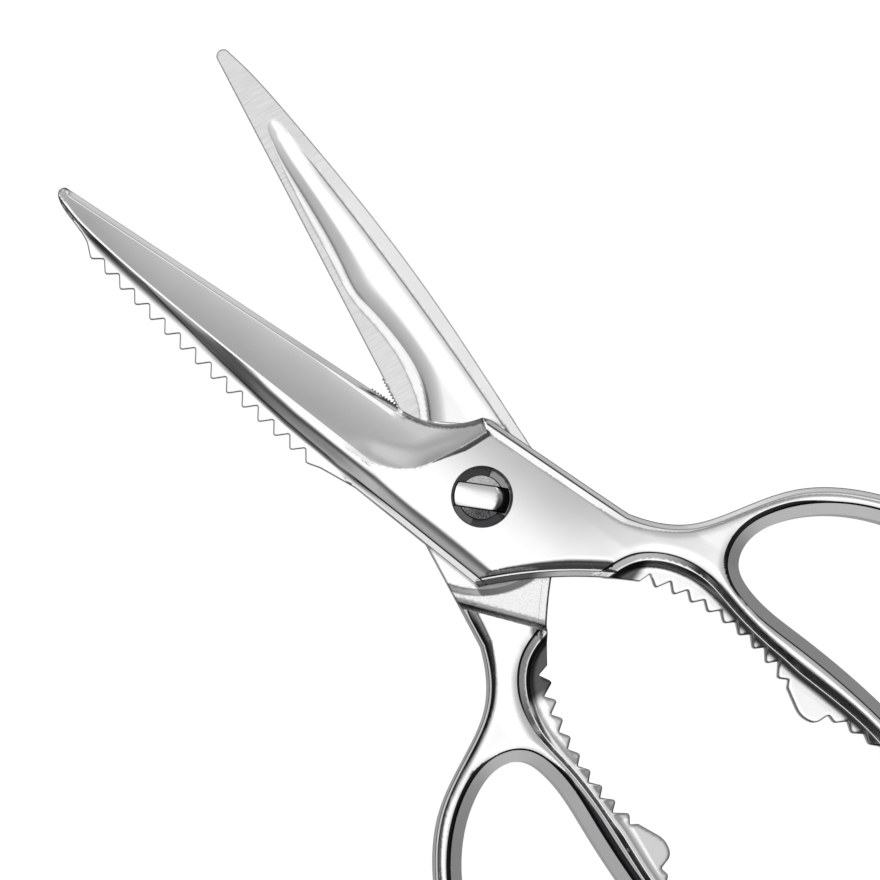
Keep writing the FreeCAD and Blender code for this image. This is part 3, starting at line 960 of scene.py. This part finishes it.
def outer_marks(p, d, front):
    """Where the outer surface is painted dark, as painted shade and painted reflections, and where it is
    satin.
    """
    u, v = p.T
    r, angle = np.hypot(u, v), np.degrees(np.arctan2(v, u))
    below = v - v_at(RIDGE, u) - ridge_flat(u)
    boss, low_side = fade(u, 20, 26) * d.in_body, d.in_body & (d.pocket > 0.3)
    round_over = linear(-u, -62, -44)
    hollow = (0.2 + 0.76 * ramp(u, 72, 88)) * fade(below, 0.05, 0.45 + 1.65 * fade(u, 84, 91))
    rolled = 0.5 * ramp(below, 0.3, 2.2) * fade(below, 2.2, 3.9)
    blade = (~d.on_face) & (below < 0) & d.in_body
    edge, strip = blade * (u > 22), bevel_width(u)
    facet = (d.on_face | (d.limit < 0.02)) & (d.limit < facet_width(v) + 0.02) & (facet_width(v) > 0.05)
    dark = [
        handle_marks(p, d, front) * fade(u, 8, 9),
        flange_marks(p, d, front),
        # painted shade: the strips round the boss and the dark lines that part them from its face
        line_mark(d.spine, 1.27, 0.12) * boss,
        0.22 * fade(d.spine, 1.1, 1.17) * boss,
        line_mark(d.low, 1.07, 0.06) * low_side,
        (0.33 + 0.57 * linear(u, -20, -16)) * fade(d.low, 0.95, 1.03) * low_side,
        # painted shade and painted reflections: the cove under the ridge, the dark line along its foot, and
        # the dark outline
        ((1 - round_over) * hollow + round_over * rolled) * (below > 0.03) * ramp(u, 18, 28),
        0.9 * line_mark(v - cove_foot(u), 0, 0.1) * ramp(u, 24, 28) * fade(u, 74, 80),
        0.6 * line_mark(d.rim, 0, 0.12),
        # painted shade and painted reflections: the edge bevel, with the dark line that crosses it at the
        # serrations, the heel's bevel and the facet at the face's limit
        edge * 0.65 * line_mark(d.cut, strip - 0.04, 0.06),
        edge * (0.22 + 0.18 * fade(u, 40, 60)) * fade(d.cut, strip - 0.1, strip),
        edge * 0.95 * fade(u, 28, 33) * line_mark(d.cut, 0.15 + 0.75 * linear(u, 23.5, 31), 0.26),
        blade * 0.7 * fade(d.cut, BEVEL_WIDTH - 0.1, BEVEL_WIDTH) * (u < 21),
        0.68 * (facet & (u > 0)),
    ]
    if front:
        # painted shade on the counterbore's ledge, darker on one side, and a dark line of painted shadow
        # along its wall
        ledge_shade = np.where(np.cos(np.radians(angle - 85)) > 0, 0.9, 0.72) * (r < COUNTERBORE_RADIUS - 0.01)
        dark += [line_mark(r, COUNTERBORE_RADIUS, 0.11), ledge_shade]
    satin = (blade | (d.on_face & (u > -30))) + 3.0 * blade * fade(d.limit, 3, 7)
    return vertex_marks(len(p), dark=np.maximum.reduce(dark), satin=satin)


def inner_marks(p, d, front):
    """Where the inner surface is painted dark, mostly as painted shade and painted reflections, and where
    it is ground or stippled.
    """
    u, v = p.T
    r, beyond = np.hypot(u, v), past_shoulder(p)
    handle = beyond > SHOULDER_DRAFT
    neck = ramp(-u, 16, 20) * fade(-u, 40, 50) * handle * d.in_body
    recess = (r > 16.0) & (r < 18.15) & (u < 0) & ~handle
    stipple = (~handle) & (r > 18.15) & (u + v < -5)
    # the flats beside the hollow, ground along the edge and towards the tip
    flat = (u > 1) & (~d.in_hollow) & (~handle)
    edge_side = flat & (d.hollow_edge < d.hollow_spine) & (u > 15)
    spine_strip = flat & ~edge_side
    limit = np.interp(u, ground_limit[::-1, 0], ground_limit[::-1, 1])
    ground = (edge_side & ((v < limit - 0.03) | (u > GROUND_LIMIT[0][0]))) | (u > HOLLOW_END)
    ground = np.maximum(ground, spine_strip * ramp(u, 58, 76))
    ground = ground * ramp(np.minimum(d.hollow_edge, d.hollow_spine), 0.0, 0.3)
    heel_side = fade(u, 20, 28)
    strength = 0.4 * ramp(u, 41, 44) * fade(u, 68, 79) + 0.5 * heel_side + 0.2
    dark = [
        np.maximum(handle_marks(p, d, front), flange_marks(p, d, front)) * handle,
        # painted shade: the shoulder's wall, the outline, and the face round the bore
        0.85 * ramp(beyond, -0.4, 0.0) * fade(beyond, SHOULDER_DRAFT - 0.1, SHOULDER_DRAFT),
        0.9 * line_mark(d.rim, 0, 0.13) * (1 - 0.6 * handle),
        0.97 * fade(r, 5.8, 5.9),
        # painted shade: the handle's outer strip, and the neck's dark side beside it
        0.5 * handle * fade(d.outer, 0.82, 0.9) * d.in_body,
        0.97 * neck * taper(d.outer, 1.35, 2.2) * (d.outer > 0.9),
        # painted shade: the recess round the boss and the boss's own edge
        0.72 * recess * ramp(v, -9.2, -8.7),
        0.5 * np.maximum(line_mark(r, 16.95, 0.12), line_mark(r, 18.15, 0.12)) * (u < 0) * ~handle,
        0.97 * fade(d.low, 0.29, 0.38) * (u < -8) * ~handle,
        0.4 * line_mark(d.low, 1.54, 0.06) * (u < -15) * ~handle,
        # the flats, the ground ones a little darker; painted shade on the spine strip, along the ground's
        # limit and the hollow's outline, and on the hollow's darker sides
        0.13 * ground,
        0.14 * spine_strip * ramp(d.hollow_spine, 0.2, 0.5),
        0.35 * line_mark(distance(p, ground_limit), 0, 0.1) * edge_side * fade(u, 68, 75),
        strength * line_mark(d.hollow_edge, 0.08, 0.12 + 0.15 * heel_side) * ramp(u, 15, 16),
        0.15 * fade(d.hollow_edge, 0.2, 2.0) * d.in_hollow * fade(u, 25, 50),
        0.85 * line_mark(d.hollow_spine, 0.0, 0.17) * ramp(u, 4, 5) * fade(u, 68, 77),
        0.85 * line_mark(distance(p, spine_line), 0.0, 0.17) * ramp(u, 5.2, 6.2),
        0.3 * fade(d.hollow_spine, 0.1, 1.4) * d.in_hollow * ramp(u, 6, 20) * fade(u, 66, 76),
        0.03 * stipple,
    ]
    return vertex_marks(len(p), dark=np.maximum.reduce(dark), ground=ground, stipple=stipple)


# ---- materials


class Nodes:
    """Adds nodes to a tree and links them."""

    def __init__(self, owner):
        owner.use_nodes = True
        self.tree = owner.node_tree
        self.tree.nodes.clear()

    def add(self, kind, settings=(), **inputs):
        """A new node with its settings, and with its inputs by name or as i and a number."""
        node = self.tree.nodes.new(kind)
        for name, value in dict(settings).items():
            setattr(node, name, value)
        for name, value in inputs.items():
            key = int(name[1:]) if name[0] == "i" and name[1:].isdigit() else name.replace("_", " ")
            if isinstance(value, bpy.types.NodeSocket):
                self.tree.links.new(value, node.inputs[key])
            else:
                node.inputs[key].default_value = value
        return node

    def math(self, operation, a, b=0.0, clamp=False):
        settings = {"operation": operation, "use_clamp": clamp}
        return self.add("ShaderNodeMath", settings, i0=a, i1=b).outputs[0]

    def times(self, a, b):
        return self.math("MULTIPLY", a, b)

    def scaled(self, value, factor, plus):
        settings = {"operation": "MULTIPLY_ADD"}
        return self.add("ShaderNodeMath", settings, i0=value, i1=factor, i2=plus).outputs[0]

    def attribute(self, name, output="Fac"):
        return self.add("ShaderNodeAttribute", {"attribute_name": name}).outputs[output]

    def noise(self, vector, scale, detail=2.0, stretch=(1, 1, 1)):
        mapping = self.add("ShaderNodeMapping", Vector=vector, Scale=stretch)
        node = self.add("ShaderNodeTexNoise", Vector=mapping.outputs[0], Scale=scale, Detail=detail)
        return node.outputs["Fac"]


# the colour that painted shade and painted reflections, the grind lines and the pits mix towards
SHADE_AND_GRAIN_COLOR = (0.02, 0.02, 0.022, 1.0)


def steel():
    """Polished steel, darkened by painted shade and painted reflections, satin, ground or stippled where
    the vertex marks say so.
    """
    material = bpy.data.materials.new("stainless_steel")
    n = Nodes(material)
    grain = n.attribute("grain", "Vector")
    dark, satin, ground, stipple = (n.attribute(name) for name in MARKS)
    lines = n.noise(grain, 1.0, 3.0, (4.0, 0.25, 0.25))
    speckle = n.noise(grain, 6.0, 3.0)
    cloud = n.noise(grain, 0.12, 3.0)
    tone = n.scaled(cloud, 0.10, 0.76)
    light = n.add("ShaderNodeCombineColor", Red=tone, Green=tone, Blue=tone).outputs[0]
    uneven = n.times(n.math("SUBTRACT", lines, 0.5), n.times(ground, 0.38))
    pits = n.times(n.math("SUBTRACT", speckle, 0.5), n.times(stipple, 0.8))
    # painted shade and painted reflections from the dark mark, with the grind lines and pits of the finish
    shade = n.math("ADD", dark, n.math("ADD", uneven, pits), True)
    color = n.add("ShaderNodeMix", {"data_type": "RGBA"}, i0=shade, i6=light, i7=SHADE_AND_GRAIN_COLOR).outputs[2]
    rough = n.math("ADD", n.scaled(satin, 0.05, 0.16), n.times(ground, 0.16))
    rough = n.math("ADD", rough, n.times(stipple, 0.06))
    scratches = n.times(lines, n.math("ADD", ground, n.times(satin, 0.12)))
    dents = n.times(speckle, n.times(stipple, 0.8))
    bump = n.add("ShaderNodeBump", Strength=0.35, Distance=0.00008, Height=n.math("ADD", scratches, dents))
    inputs = {"Base_Color": color, "Metallic": 1.0, "Roughness": rough, "Normal": bump.outputs[0]}
    shader = n.add("ShaderNodeBsdfPrincipled", **inputs)
    n.add("ShaderNodeOutputMaterial", Surface=shader.outputs[0])
    return material


def floor_material():
    material = bpy.data.materials.new("white_table")
    n = Nodes(material)
    diffuse = n.add("ShaderNodeBsdfDiffuse", Color=(0.25, 0.25, 0.25, 1))
    glow = n.add("ShaderNodeEmission", Color=(1, 1, 1, 1), Strength=0.93)
    both = n.add("ShaderNodeAddShader", i0=diffuse.outputs[0], i1=glow.outputs[0])
    n.add("ShaderNodeOutputMaterial", Surface=both.outputs[0])
    return material


# ---- light and camera

# Brightness of the studio by direction: degrees from straight up, and the brightness there
ALONG = (  # positive towards -Y
    (-180, 0.45), (-165, 0.42), (-135, 0.38), (-107, 0.28), (-95, 0.03), (-76, 0.60), (-62, 0.58),
    (-52, 0.18), (-43, 0.08), (-34, 0.18), (-25, 0.60), (-16, 1.10), (-8, 1.40), (3, 1.40), (8, 1.08),
    (14, 0.74), (20, 0.60), (30, 0.55), (46, 0.42), (54, 0.55), (61, 1.30), (76, 1.60), (84, 0.80),
    (96, 0.12), (107, 0.30), (140, 0.38), (165, 0.42), (180, 0.45),
)
ACROSS = (  # positive towards +X
    (-180, 0.15), (-95, 0.15), (-60, 0.18), (-45, 0.40), (-30, 0.70), (-14, 1.0), (14, 1.0), (40, 0.78),
    (60, 0.66), (80, 0.50), (100, 0.15), (180, 0.15),
)


def brightness(n, sideways, upward, stops):
    """The brightness along one axis, as a ramp over the angle from straight up."""
    angle = n.math("ARCTAN2", sideways, upward)
    node = n.add("ShaderNodeValToRGB", Fac=n.scaled(angle, 1 / (2 * math.pi), 0.5))
    colors = node.color_ramp
    while len(colors.elements) < len(stops):
        colors.elements.new(0.5)
    for element, (degrees, level) in zip(colors.elements, stops):
        element.position = degrees / 360 + 0.5
        element.color = (level, level, level, 1)
    return node.outputs[0]


def make_studio():
    world = bpy.data.worlds.new("studio")
    bpy.context.scene.world = world
    n = Nodes(world)
    direction = n.add("ShaderNodeTexCoord").outputs["Generated"]
    x, y, z = n.add("ShaderNodeSeparateXYZ", Vector=direction).outputs
    along = brightness(n, n.times(y, -1.0), z, ALONG)
    across = brightness(n, x, n.math("ABSOLUTE", z), ACROSS)
    back = n.add("ShaderNodeBackground", Color=n.times(along, across))
    n.add("ShaderNodeOutputWorld", Surface=back.outputs[0])


FLOOR_SIZE, FLOOR_GAP = 3.0, 0.00002  # metres, and how far below the shears it lies


def make_floor():
    bpy.ops.mesh.primitive_plane_add(size=FLOOR_SIZE, location=(0, 0, -FLOOR_GAP))
    floor = bpy.context.active_object
    floor.name = "table"
    floor.data.materials.append(floor_material())
    floor.visible_glossy = False


LENS_DISTANCE = 1200.0  # mm from the camera to what it looks at
VIEW_WIDTH = 163.0  # mm across the picture
CAMERA_TILT = 6.0  # degrees off the vertical, towards +Y
PICTURE_TURN = 228.0  # degrees from +X to the picture's right, seen from above
SENSOR_WIDTH = 36.0
LOOK_RIGHT, LOOK_UP = -7.8, 10.5  # mm from the pivot to the picture's centre


def make_camera():
    turn = math.radians(PICTURE_TURN)
    right = Vector((math.cos(turn), math.sin(turn), 0))
    up = Vector((-math.sin(turn), math.cos(turn), 0))
    axes = Matrix((right, up, Vector((0, 0, 1)))).transposed()
    axes = Matrix.Rotation(-math.radians(CAMERA_TILT), 3, "X") @ axes
    top = Vector((0, 0, 2 * THICKNESS + SLIDING_GAP))
    target = top + axes.col[0] * LOOK_RIGHT + axes.col[1] * LOOK_UP
    camera = bpy.data.objects.new("camera", bpy.data.cameras.new("camera"))
    camera.data.sensor_width = SENSOR_WIDTH
    camera.data.lens = SENSOR_WIDTH * LENS_DISTANCE / VIEW_WIDTH
    camera.data.clip_start = 0.01
    camera.data.clip_end = 20.0
    camera.matrix_world = Matrix.Translation((target + axes.col[2] * LENS_DISTANCE) * MM) @ axes.to_4x4()
    bpy.context.scene.collection.objects.link(camera)
    bpy.context.scene.camera = camera
    bpy.context.scene.view_settings.view_transform = "Standard"


make_camera()
make_studio()
make_floor()
polished = steel()
for node, body in (("front_half", "front"), ("back_half", "back")):
    piece = build_half(node.replace("_half", "_forging"), node == "front_half")
    piece.data.materials.append(polished)
    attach(piece, body)
    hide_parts(node)
stud = build_stud()
stud.data.materials.append(polished)
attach(stud, "back")
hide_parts("pivot_stud")
